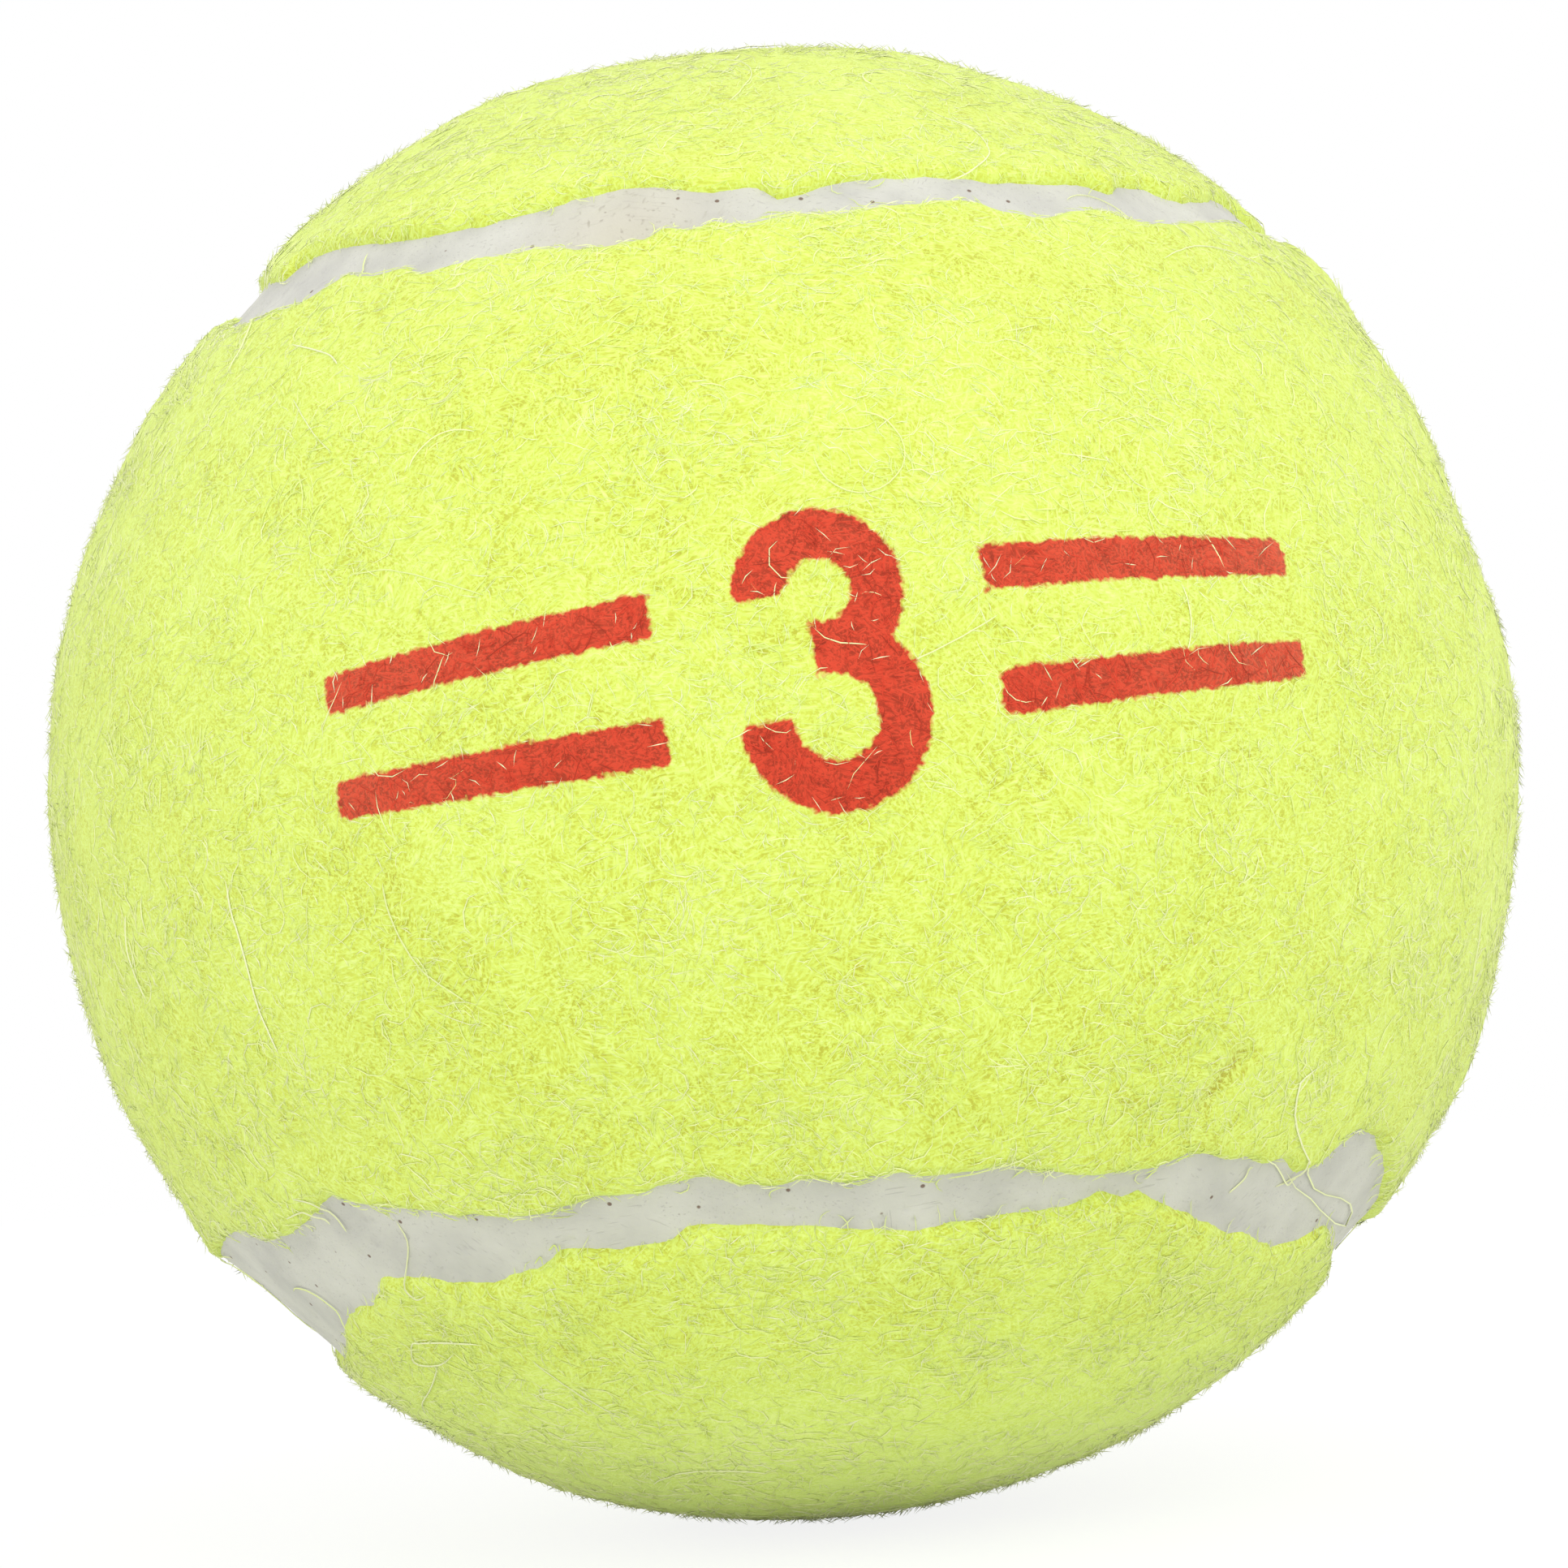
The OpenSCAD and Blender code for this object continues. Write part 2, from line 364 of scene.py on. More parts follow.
def lattice_noise(points, size, seed):
    """Smooth noise of about -1 to 1 at each point, whose lumps are about that size apart."""
    slopes = unit_rows(np.random.default_rng(seed).normal(size=(NOISE_SLOPES, 3)))
    scaled = points / size + seed * NOISE_SHIFT
    cell = np.floor(scaled).astype(np.int64)
    part = scaled - cell
    ease = part ** 3 * (part * (part * 6 - 15) + 10)
    total = np.zeros(len(points))
    for corner in np.ndindex(2, 2, 2):
        spread = (cell + corner) * NOISE_SPREAD
        mixed = (spread[:, 0] ^ spread[:, 1] ^ spread[:, 2]) % NOISE_SLOPES
        slope = (slopes[mixed] * (part - corner)).sum(1)
        total += slope * np.where(corner, ease, 1 - ease).prod(1)
    return total * NOISE_GAIN


def waves(points, rows, seed=0):
    """The metres that rows of noise add at each point. A row's seed is added to the given one."""
    return sum(
        lattice_noise(points, apart * MM, seed + own) * high * MM for apart, high, own in rows
    )


def camera_axes():
    """The camera's place, and its right, up and back directions."""
    back = CAMERA_SIDE
    right = CAMERA_UP.cross(back).normalized()
    return back * CAMERA_SHARE * BALL_R, right, back.cross(right), back


def pixel_on_ball(x, y, radius):
    """The point on the near side of a ball of that radius that a pixel of the photograph shows."""
    eye, right, up, back = camera_axes()
    ray = right * (x - IMAGE_SIDE / 2) - up * (y - IMAGE_SIDE / 2) - back * FOCAL_PIXELS
    ray.normalize()
    near = -eye.dot(ray)
    reach = radius ** 2 - eye.length_squared + near ** 2
    return eye + ray * (near - math.sqrt(max(reach, 0)))


def seam_place(unit):
    """For directions from the centre: the nearest arc, the turn along it and the metres across it."""
    front = np.where(unit[:, 2] >= 0, TOP, BOTTOM)
    back = np.where(unit[:, 0] >= 0, RIGHT, LEFT)
    arc = np.where(unit[:, 1] < 0, front, back)
    polar = np.arccos(np.clip((unit * ARC_AXIS[arc]).sum(1), -1, 1))
    turn = np.arctan2((unit * ARC_ALONG[arc]).sum(1), (unit * ARC_MIDDLE[arc]).sum(1))
    return arc, turn, (polar - ARC_ANGLE) * ARC_SIDE[arc] * BALL_R


def direction_at(arc, turn, across):
    """The direction from the ball's centre to a place beside the seam."""
    polar = ARC_ANGLE + across / BALL_R * ARC_SIDE[arc]
    ring = ARC_MIDDLE[arc] * np.cos(turn)[:, None] + ARC_ALONG[arc] * np.sin(turn)[:, None]
    return ARC_AXIS[arc] * np.cos(polar)[:, None] + ring * np.sin(polar)[:, None]


def felt_edge(panel, arc, turn):
    """Metres across the seam at which a panel's felt ends, ragged as the photograph shows it."""
    across = np.zeros(len(arc))
    for one, (edge_a, edge_b) in enumerate(zip(EDGES_A, EDGES_B)):
        here = arc == one
        edge = np.array(edge_a if panel == "a" else edge_b) * MM
        across[here] = np.interp(turn[here] * ARC_R, edge[:, 0], edge[:, 1])
    middle = direction_at(arc, turn, np.zeros(len(arc))) * BALL_R
    hidden = np.clip((middle[:, 1] + EDGE_START) / EDGE_START, 0, 1)
    slow = waves(middle, EDGE_SLOW, EDGE_SEEDS[panel])
    return across + slow * hidden + waves(middle, EDGE_FINE, EDGE_SEEDS[panel])


def on_panel(panel, unit):
    """Metres from a panel's edge to directions on it, less than zero off the panel."""
    arc, turn, across = seam_place(unit)
    return (across - felt_edge(panel, arc, turn)) * SIGN[panel]


def near_pixel(points, pixel, wide):
    """1 at the place that a pixel shows, and softly less to 0 round it: half width in mm."""
    place = np.array(pixel_on_ball(*pixel, BALL_R))
    away = np.linalg.norm(unit_rows(points) * BALL_R - place, axis=1)
    return np.exp(-(away / (wide * MM)) ** 2)


def creased(points):
    """1 in the crease of the felt, and 0 away from it."""
    return np.max([near_pixel(points, pixel, CREASE_HALF) for pixel in CREASE], axis=0)


def hollow_depth(points):
    """How deep the ball is pressed in at each point."""
    depth = creased(points) * CREASE_DEPTH * MM
    for pixel, deep, wide in HOLLOWS:
        depth += near_pixel(points, pixel, wide) * deep * MM
    return depth


def felt_height(points):
    """How far the top of the nap stands above or below its mean radius."""
    return waves(points, FELT_LUMPS) + waves(points, FELT_TUFTS) - hollow_depth(points)


def on_nap(panel, unit, lift):
    """Puts directions on a panel's nap, lift above it, and round the shoulder at its edge."""
    arc, turn, across = seam_place(unit)
    edge = felt_edge(panel, arc, turn)
    deep = (across - edge) * SIGN[panel]
    bend = np.clip((SHOULDER_R - deep) / SHOULDER_R, 0, None)
    curve = np.minimum(bend, math.pi / 2)
    drop = SHOULDER_R * (1 - np.cos(curve)) + (bend - curve) * SHOULDER_R
    deep = np.where(bend > 0, SHOULDER_R - (SHOULDER_R + lift) * np.sin(curve), deep)
    moved = direction_at(arc, turn, edge + deep * SIGN[panel])
    height = (felt_height(moved * BALL_R) + lift) * np.cos(curve)
    return moved * (NAP_R + height - drop)[:, None]


def seam_surface(at, share):
    """The radius of the seam's surface at points on it, which are at a share of its way across."""
    rough = 1 + ROUGH_GAIN * near_pixel(at, ROUGH_PIXEL, ROUGH_WIDE)
    wave = waves(at, SEAM_WAVES) + waves(at, SEAM_GRAIN) * rough
    return SEAM_R + (2 * share - 1) ** 4 * SEAM_LIP + wave - hollow_depth(at)


def on_ball(unit, lift):
    """Puts directions on the felt or on the seam, whichever is there, lift above it."""
    arc, turn, across = seam_place(unit)
    edge_a, edge_b = felt_edge("a", arc, turn), felt_edge("b", arc, turn)
    deep = np.maximum(across - edge_a, edge_b - across)
    on_felt = np.clip((deep + SLOPE_OUT) / (SLOPE_OUT + SLOPE_IN), 0, 1)
    felt = NAP_R + felt_height(unit * BALL_R)
    share = (across - edge_b + SEAM_UNDER) / (edge_a - edge_b + 2 * SEAM_UNDER)
    seam = seam_surface(unit * SEAM_R, np.clip(share, 0, 1))
    return unit * (felt * on_felt + seam * (1 - on_felt) + lift)[:, None]


def mark_axes():
    """Directions from the ball's centre to the printed mark's middle, and to its right and top."""
    centre = pixel_on_ball(*MARK_PIXEL, BALL_R).normalized()
    camera_right, camera_up = camera_axes()[1:3]
    right = camera_right * math.cos(MARK_RISE) + camera_up * math.sin(MARK_RISE)
    right = (right - centre * right.dot(centre)).normalized()
    return centre, right, centre.cross(right)


def from_mark(points):
    """Millimetres from each point to the edge of the printed mark, less than zero inside it."""
    depth, x, y = (points @ np.array(axis) for axis in mark_axes())
    x = np.arctan2(x, depth) * BALL_R / MM
    y = np.arctan2(y, depth) * BALL_R / MM
    upper = np.abs(np.hypot(x, y - UPPER_BOWL_R - BOWL_OVERLAP) - UPPER_BOWL_R)
    lower = np.abs(np.hypot(x, y + LOWER_BOWL_R - BOWL_OVERLAP) - LOWER_BOWL_R)
    opening = np.maximum(x - OPENING_X, np.abs(y) - OPENING_HALF)
    numeral = np.maximum(np.minimum(upper, lower) - NUMERAL_STROKE / 2, -opening)
    along_bar = np.abs(np.abs(x) - BAR_MIDDLE) - BAR_HALF
    across_bar = np.abs(np.abs(y) - BAR_APART / 2) - BAR_THICK / 2
    away = np.minimum(numeral, np.maximum(along_bar, across_bar))
    return np.where(depth > 0, np.minimum(away, NO_INK), NO_INK)


def vertex_places(piece):
    """The places of a piece's vertices, as an array."""
    places = np.empty(len(piece.data.vertices) * 3, np.float32)
    piece.data.vertices.foreach_get("co", places)
    return places.reshape(-1, 3).astype(float)


def store(piece, name, values):
    """Keeps a number for each vertex, for a material to read."""
    attribute = piece.data.attributes.new(name, "FLOAT", "POINT")
    attribute.data.foreach_set("value", np.asarray(values, np.float32))


def edit_chosen(piece, kind, chosen, edit):
    """Runs one edit on the chosen vertices or edges of the active piece."""
    bpy.ops.object.mode_set(mode="EDIT")
    bpy.ops.mesh.select_mode(type=kind)
    bpy.ops.mesh.select_all(action="DESELECT")
    bpy.ops.object.mode_set(mode="OBJECT")
    parts = piece.data.vertices if kind == "VERT" else piece.data.edges
    parts.foreach_set("select", chosen)
    bpy.ops.object.mode_set(mode="EDIT")
    edit()
    bpy.ops.object.mode_set(mode="OBJECT")


def shell_part(panel, divisions, spare):
    """The faces of an icosphere that lie on one panel, or up to spare metres past its edge."""
    bpy.ops.mesh.primitive_ico_sphere_add(subdivisions=divisions, radius=1)
    part = bpy.context.object
    deep = on_panel(panel, unit_rows(vertex_places(part)))
    edit_chosen(part, "VERT", deep < -spare, lambda: bpy.ops.mesh.delete(type="VERT"))
    return part


def rim_of(piece):
    """Which edges of an open piece are on its rim, and which vertices."""
    edges = np.empty(len(piece.data.edges) * 2, np.int32)
    piece.data.edges.foreach_get("vertices", edges)
    index = np.empty(len(piece.data.loops), np.int32)
    piece.data.loops.foreach_get("edge_index", index)
    rim_edges = np.bincount(index, minlength=len(piece.data.edges)) == 1
    rim_vertices = np.zeros(len(piece.data.vertices), bool)
    rim_vertices[edges.reshape(-1, 2)[rim_edges].ravel()] = True
    return rim_edges, rim_vertices


def nap_panel(panel):
    """One panel's nap: a lumpy outside with soft shoulders, on an inside that fits the cloth."""
    outside = shell_part(panel, NAP_DIVISIONS, NAP_OVERRUN)
    unit = unit_rows(vertex_places(outside))
    outside.data.vertices.foreach_set("co", on_nap(panel, unit, 0).astype(np.float32).ravel())
    inside = shell_part(panel, CLOTH_DIVISIONS, CLOTH_OVERRUN)
    arc, turn, across = seam_place(unit_rows(vertex_places(inside)))
    edge = felt_edge(panel, arc, turn)
    off_panel = (across - edge) * SIGN[panel] < 0
    across = np.where(rim_of(inside)[1] | off_panel, edge, across)
    places = direction_at(arc, turn, across) * CLOTH_R
    inside.data.vertices.foreach_set("co", places.astype(np.float32).ravel())
    inside.data.flip_normals()
    bpy.ops.object.select_all(action="DESELECT")
    inside.select_set(True)
    outside.select_set(True)
    bpy.context.view_layer.objects.active = outside
    bpy.ops.object.join()
    edit_chosen(outside, "EDGE", rim_of(outside)[0], bpy.ops.mesh.bridge_edge_loops)
    bpy.ops.object.shade_smooth()
    outside.name = outside.data.name = "nap_panel_" + panel
    store(outside, "from_mark", from_mark(vertex_places(outside)))
    store(outside, "creased", creased(vertex_places(outside)))
    return outside


def loop_station(metres):
    """The arc and the turn along it at a distance round the whole closed seam."""
    order = np.array([TOP, RIGHT, BOTTOM, LEFT])
    forward = np.array([1, -1, -1, 1])
    leg = np.floor(metres / (2 * HALF_ARC)).astype(int) % 4
    along = metres - np.floor(metres / (2 * HALF_ARC)) * 2 * HALF_ARC - HALF_ARC
    return order[leg], forward[leg] * along / ARC_R


def seam_pits(rng):
    """The middles and half widths of the pits that burst bubbles left in the seam."""
    arc, turn = loop_station(rng.uniform(0, 8 * HALF_ARC, SEAM_PITS))
    low = felt_edge("b", arc, turn)
    high = felt_edge("a", arc, turn)
    middle = direction_at(arc, turn, low + (high - low) * rng.uniform(*PIT_PLACES, SEAM_PITS))
    return middle * SEAM_R, rng.uniform(*PIT_WIDTHS, SEAM_PITS) * MM


def seam_band():
    """The moulded rubber between the felt's edges: matt, a little wavy, with pits."""
    metres = np.arange(SEAM_STATIONS) / SEAM_STATIONS * 8 * HALF_ARC
    arc, turn = loop_station(metres)
    edge_a = felt_edge("a", arc, turn) + SEAM_UNDER
    edge_b = felt_edge("b", arc, turn) - SEAM_UNDER
    rows = []
    for share in np.linspace(0, 1, SEAM_ACROSS):
        unit = direction_at(arc, turn, edge_b + (edge_a - edge_b) * share)
        rows.append(unit * seam_surface(unit * SEAM_R, share)[:, None])
    top = np.stack(rows, 1)
    flat = top.reshape(-1, 3)
    sunk = np.zeros(len(flat))
    for pit, radius in zip(*seam_pits(np.random.default_rng(PIT_SEED))):
        near = np.abs(flat - pit).max(1) < PIT_REACH * radius
        off = np.linalg.norm(flat[near] - pit, axis=1)
        sunk[near] = np.maximum(sunk[near], np.exp(-(off / radius) ** 2))
    top *= (1 - sunk * PIT_DEPTH / SEAM_R).reshape(top.shape[:2])[:, :, None]
    under = []
    for share, radius in SEAM_UNDERSIDE:
        under.append(direction_at(arc, turn, edge_b + (edge_a - edge_b) * share) * radius)
    grid = np.concatenate([top, np.stack(under, 1)], 1)
    band = closed_band("seam_band", grid)
    store(band, "rough", near_pixel(vertex_places(band), ROUGH_PIXEL, ROUGH_WIDE))
    return band


def closed_band(name, grid):
    """A closed ring with outward faces, from points in stations × points round each station."""
    count, around = grid.shape[:2]
    i = np.arange(count)[:, None]
    j = np.arange(around)[None]
    after = (i + 1) % count
    beside = (j + 1) % around
    corners = (i * around + j, i * around + beside, after * around + beside, after * around + j)
    faces = np.stack([np.broadcast_to(corner, (count, around)).ravel() for corner in corners], 1)
    mesh = bpy.data.meshes.new(name)
    mesh.from_pydata(grid.reshape(-1, 3).tolist(), [], faces.tolist())
    piece = bpy.data.objects.new(name, mesh)
    bpy.context.scene.collection.objects.link(piece)
    mesh.shade_smooth()
    return piece


def fibre_starts(panel, count, reach, rng):
    """Starts in small tufts, up to reach inside a panel's edge, and headings out of each tuft."""
    starts, headings = np.empty((0, 3)), np.empty((0, 3))
    while len(starts) < count:
        tuft = np.repeat(unit_rows(rng.normal(size=(count // 4, 3))), TUFT_FIBRES, axis=0)
        offset = rng.normal(0, TUFT_SPREAD / BALL_R, tuft.shape)
        unit = unit_rows(tuft + offset)
        heading = unit_rows(offset) + rng.normal(0, HEADING_SPREAD, tuft.shape)
        deep = on_panel(panel, unit)
        keep = (deep > 0) & (deep < reach)
        starts = np.concatenate([starts, unit[keep]])
        headings = np.concatenate([headings, heading[keep]])
    return starts[:count], headings[:count]


def along_ball(start, heading, steps, length, curl, rng):
    """Curling paths over the ball, as steps × fibres directions from its centre."""
    pace = length / (steps - 1) / BALL_R
    bend = rng.normal(0, curl, len(start))
    unit = start
    path = [start]
    for step in range(steps - 1):
        heading = unit_rows(heading - unit * (heading * unit).sum(1)[:, None])
        turned = (bend + rng.normal(0, CURL_CHANGE * curl, len(start))) * pace * BALL_R
        turned = np.clip(turned, -SHARPEST_TURN, SHARPEST_TURN)
        side = np.cross(unit, heading)
        heading = heading * np.cos(turned)[:, None] + side * np.sin(turned)[:, None]
        unit = unit_rows(unit * np.cos(pace)[:, None] + heading * np.sin(pace)[:, None])
        path.append(unit)
    return np.stack(path)


def fibre_layer(name, panel, seed):
    """One layer of a panel's loose fibres."""
    count, steps, short, long, curl, arch, rise, thick = FIBRE_LAYERS[name]
    rng = np.random.default_rng(seed)
    reach = FRINGE_REACH if name == "fringe" else BALL_R
    start, heading = fibre_starts(panel, count, reach, rng)
    length = (short + (long - short) * rng.random(count) ** LENGTH_POWER) * MM
    path = along_ball(start, heading, steps, length, curl / MM, rng)
    share = np.linspace(0, 1, steps)[:, None]
    lift = np.sin(math.pi * share) * rng.uniform(0, 2 * arch, count)
    lift = (lift + share ** RISE_POWER * rng.uniform(0, 2 * rise, count)) * MM - ROOT_DEPTH
    if name == "fringe":
        laid = on_ball(path.reshape(-1, 3), lift.ravel() + ROOT_DEPTH)
    else:
        laid = on_nap(panel, path.reshape(-1, 3), lift.ravel())
    laid = laid.reshape(steps, count, 3)
    radius = thick / 2 * MM * rng.uniform(*THICKNESS_SHARES, count)
    tones = rng.random(count)
    # Few fibres bridge the crease
    bridging = creased(laid.reshape(-1, 3)).reshape(steps, count).max(0)
    kept = bridging < rng.uniform(*BRIDGE_SHARES, count)
    return fibre_tubes(f"{name}_fibres_{panel}", laid[:, kept], radius[kept], tones[kept])


def fibre_through(pixels, lifts):
    """A smooth path over the ball, through the places that those pixels show, at those heights."""
    knots = []
    for x, y in pixels:
        near = on_ball(unit_rows(np.array([pixel_on_ball(x, y, BALL_R)])), 0)
        knots.append(np.array(pixel_on_ball(x, y, np.linalg.norm(near))))
    knots = np.array([2 * knots[0] - knots[1], *knots, 2 * knots[-1] - knots[-2]])
    at = np.linspace(0, len(pixels) - 1, STRAY_POINTS)
    leg = np.minimum(at.astype(int), len(pixels) - 2)
    part = (at - leg)[:, None]
    a, b, c, d = (knots[leg + step] for step in range(4))
    # The usual smooth curve through points, whose slope at each follows its neighbours
    path = 2 * b + (c - a) * part + (2 * a - 5 * b + 4 * c - d) * part ** 2
    path = (path + (3 * b - a - 3 * c + d) * part ** 3) / 2
    return on_ball(unit_rows(path), np.linspace(*lifts, STRAY_POINTS) * MM)


def stray_fibres():
    """Long single fibres: those that the photograph shows, and others scattered over the ball."""
    rng = np.random.default_rng(STRAY_SEED)
    seen = [fibre_through(pixels, SEEN_LIFTS) for pixels in STRAY_FIBRES]
    seen += [fibre_through(pixels, BIT_LIFTS) for pixels in SEAM_BITS]
    start = unit_rows(rng.normal(size=(STRAY_COUNT, 3)))
    length = rng.uniform(*STRAY_LENGTHS, STRAY_COUNT) * MM
    path = along_ball(start, rng.normal(size=start.shape), STRAY_POINTS, length, STRAY_CURL, rng)
    lift = np.tile(rng.uniform(*STRAY_LIFTS, STRAY_COUNT) * MM, STRAY_POINTS)
    scattered = on_ball(path.reshape(-1, 3), lift).reshape(path.shape)
    laid = np.concatenate([np.stack(seen, 1), scattered], 1)
    count = laid.shape[1]
    thick = STRAY_THICK * rng.uniform(*STRAY_SHARES, count)
    thick[:len(STRAY_FIBRES)] = SEEN_THICK
    tones = rng.uniform(*STRAY_TONES, count)
    tones[:len(STRAY_FIBRES)] = SEEN_TONE
    tones[len(STRAY_FIBRES):len(seen)] = BIT_TONE
    return fibre_tubes("stray_fibres", laid, thick / 2, tones)


def fibre_tubes(name, path, radius, tones):
    """Thin closed three-sided tubes along steps × fibres points, with a tone for each."""
    steps, count = path.shape[:2]
    way = unit_rows(np.gradient(path, axis=0))
    out = unit_rows(path) + SIDE_TURN * np.roll(way, 1, axis=2)
    first = unit_rows(np.cross(way, out))
    second = np.cross(way, first)
    rings = []
    for step in range(1, steps - 1):
        thick = radius[:, None] * (END_SHARE if step in (1, steps - 2) else 1)
        for corner in range(3):
            angle = math.tau * corner / 3
            spoke = first[step] * math.cos(angle) + second[step] * math.sin(angle)
            rings.append(path[step] + spoke * thick)
    points = np.stack([path[0]] + rings + [path[-1]], 1)
    faces, uvs = tube_faces(steps)
    piece = many_tubes(name, points, faces, uvs)
    store(piece, "tone", np.repeat(tones, points.shape[1]))
    store(piece, "from_mark", from_mark(points.reshape(-1, 3)))
    return piece


def tube_faces(steps):
    """The faces of one tube, and their places in its square of the bake map."""
    last = 3 * (steps - 2) + 1
    faces, uvs = [], []
    for corner in range(3):
        beside = (corner + 1) % 3
        u0 = MAP_LEFT + MAP_STRIP * corner
        u1 = u0 + MAP_STRIP
        rows = [step / (steps - 1) for step in range(steps)]
        faces.append((0, 1 + beside, 1 + corner))
        uvs.append(((u0, 0), (u1, rows[1]), (u0, rows[1])))
        for ring in range(steps - 3):
            low = 1 + ring * 3
            v0, v1 = rows[ring + 1], rows[ring + 2]
            faces.append((low + corner, low + beside, low + 3 + beside, low + 3 + corner))
            uvs.append(((u0, v0), (u1, v0), (u1, v1), (u0, v1)))
        faces.append((last, last - 3 + corner, last - 3 + beside))
        uvs.append(((u0, 1), (u0, rows[-2]), (u1, rows[-2])))
    return faces, uvs


def many_tubes(name, points, faces, uvs):
    """Equal tubes from fibres × points, with one pattern of faces, each with its own map square."""
    count, per = points.shape[:2]
    corners = np.array([corner for face in faces for corner in face])
    places = np.array([place for uv in uvs for place in uv])
    all_corners = (corners[None] + np.arange(count)[:, None] * per).ravel()
    sizes = np.tile([len(face) for face in faces], count)
    mesh = bpy.data.meshes.new(name)
    mesh.vertices.add(count * per)
    mesh.vertices.foreach_set("co", points.astype(np.float32).ravel())
    mesh.loops.add(len(all_corners))
    mesh.loops.foreach_set("vertex_index", all_corners.astype(np.int32))
    mesh.polygons.add(len(sizes))
    starts = np.concatenate([[0], np.cumsum(sizes)[:-1]])
    mesh.polygons.foreach_set("loop_start", starts.astype(np.int32))
    mesh.update(calc_edges=True)
    across = math.ceil(math.sqrt(count))
    cell = np.stack([np.arange(count) % across, np.arange(count) // across], 1)
    uv = (cell[:, None] + MAP_GAP + (1 - 2 * MAP_GAP) * places[None]) / across
    mesh.uv_layers.new(name="OFBake").uv.foreach_set("vector", uv.astype(np.float32).ravel())
    # A fibre this thin glows with the light that falls on the nap round it, so it has no dark side
    mesh.shade_smooth()
    round_fibre = np.empty((count * per, 3), np.float32)
    mesh.vertices.foreach_get("normal", round_fibre.ravel())
    shaded = unit_rows(round_fibre + NAP_SHADE * unit_rows(points.reshape(-1, 3)))
    mesh.normals_split_custom_set_from_vertices(shaded)
    piece = bpy.data.objects.new(name, mesh)
    # Light goes through fibres as thin as these, so they darken nothing behind them
    piece.visible_shadow = False
    bpy.context.scene.collection.objects.link(piece)
    return piece


def linear(value):
    """A colour written as sRGB hex, as Blender's linear numbers."""
    channels = [int(value[i:i + 2], 16) / 255 for i in (0, 2, 4)]
    return [c / 12.92 if c <= 0.04045 else ((c + 0.055) / 1.055) ** 2.4 for c in channels] + [1.0]


def node(tree, kind, inputs=None, stops=(), **settings):
    """Adds a shader node with its settings, and gives its inputs values or links."""
    made = tree.nodes.new("ShaderNode" + kind)
    for name, value in settings.items():
        setattr(made, name, value)
    for name, value in (inputs or {}).items():
        if isinstance(value, bpy.types.Node):
            value = next(socket for socket in value.outputs if socket.enabled)
        if isinstance(value, bpy.types.NodeSocket):
            tree.links.new(value, made.inputs[name])
        else:
            made.inputs[name].default_value = value
    for index, (place, colour) in enumerate(stops):
        if index >= len(made.color_ramp.elements):
            made.color_ramp.elements.new(1.0)
        made.color_ramp.elements[index].position = place
        made.color_ramp.elements[index].color = linear(colour)
    return made


def new_material(name):
    """An empty material, and its tree."""
    material = bpy.data.materials.new(name)
    material.use_nodes = True
    material.node_tree.nodes.clear()
    return material, material.node_tree


def surface(tree, inputs):
    """Ends a material's tree with a surface that has those inputs."""
    node(tree, "OutputMaterial", {"Surface": node(tree, "BsdfPrincipled", inputs)})


def strands(tree, place, patch, long, thin, shift):
    """Fine parallel strands, in patches with a direction each: 0 to 1. The sizes are in mm."""
    moved = node(tree, "VectorMath", {0: place, 1: (shift * MM,) * 3}, operation="ADD")
    patches = node(tree, "TexVoronoi", {"Vector": moved, "Scale": 1 / (patch * MM)})
    axis = node(
        tree, "VectorMath", {0: patches.outputs["Color"], 1: (0.5, 0.5, 0.5)}, operation="SUBTRACT"
    )
    angle = node(tree, "Math", {0: patches.outputs["Color"], 1: 4 * math.tau}, operation="MULTIPLY")
    turned = node(
        tree, "VectorRotate", {"Vector": moved, "Axis": axis, "Angle": angle},
        rotation_type="AXIS_ANGLE",
    )
    drawn = (1 / (long * MM), 1 / (thin * MM), 1 / (thin * MM))
    stretched = node(tree, "VectorMath", {0: turned, 1: drawn}, operation="MULTIPLY")
    return node(tree, "TexNoise", {"Vector": stretched, "Scale": 1.0, "Detail": 1.0}).outputs[0]


def inked(tree, place):
    """How much ink a point of the felt has taken, 0 to 1, with the rough edge of a felt print."""
    away = node(tree, "Attribute", attribute_name="from_mark").outputs["Fac"]
    wander = node(tree, "TexNoise", {"Vector": place, "Scale": 3 / MM, "Detail": 2.0}).outputs[0]
    rough = node(tree, "Math", {0: wander, 1: 0.5, 2: -0.25}, operation="MULTIPLY_ADD")
    edge = node(tree, "Math", {0: rough, 1: away}, operation="ADD")
    return node(tree, "MapRange", {"Value": edge, 1: 0.07, 2: -0.07, 3: 0.0, 4: 1.0})


def clouds_and_painted_light(tree, place, tone, share):
    """A tone with slow clouds in it, from 3 to 8 mm wide, and paler towards the bottom, where light
    is painted on the underside.
    """
    cloud = node(tree, "TexNoise", {"Vector": place, "Scale": 0.18 / MM, "Detail": 3.0}).outputs[0]
    level = node(tree, "Math", {0: cloud, 1: share, 2: -share / 2}, operation="MULTIPLY_ADD")
    clouds = node(tree, "Math", {0: tone, 1: level}, operation="ADD")
    # Painted light: the tone rises towards the bottom, so the underside is paler
    height = node(tree, "SeparateXYZ", {"Vector": place}).outputs["Z"]
    low = {"Value": height, 1: PAINTED_LIGHT_TOP, 2: -BALL_R, 3: 0.0, 4: PAINTED_LIGHT_TONE}
    return node(tree, "Math", {0: clouds, 1: node(tree, "MapRange", low)}, operation="ADD")


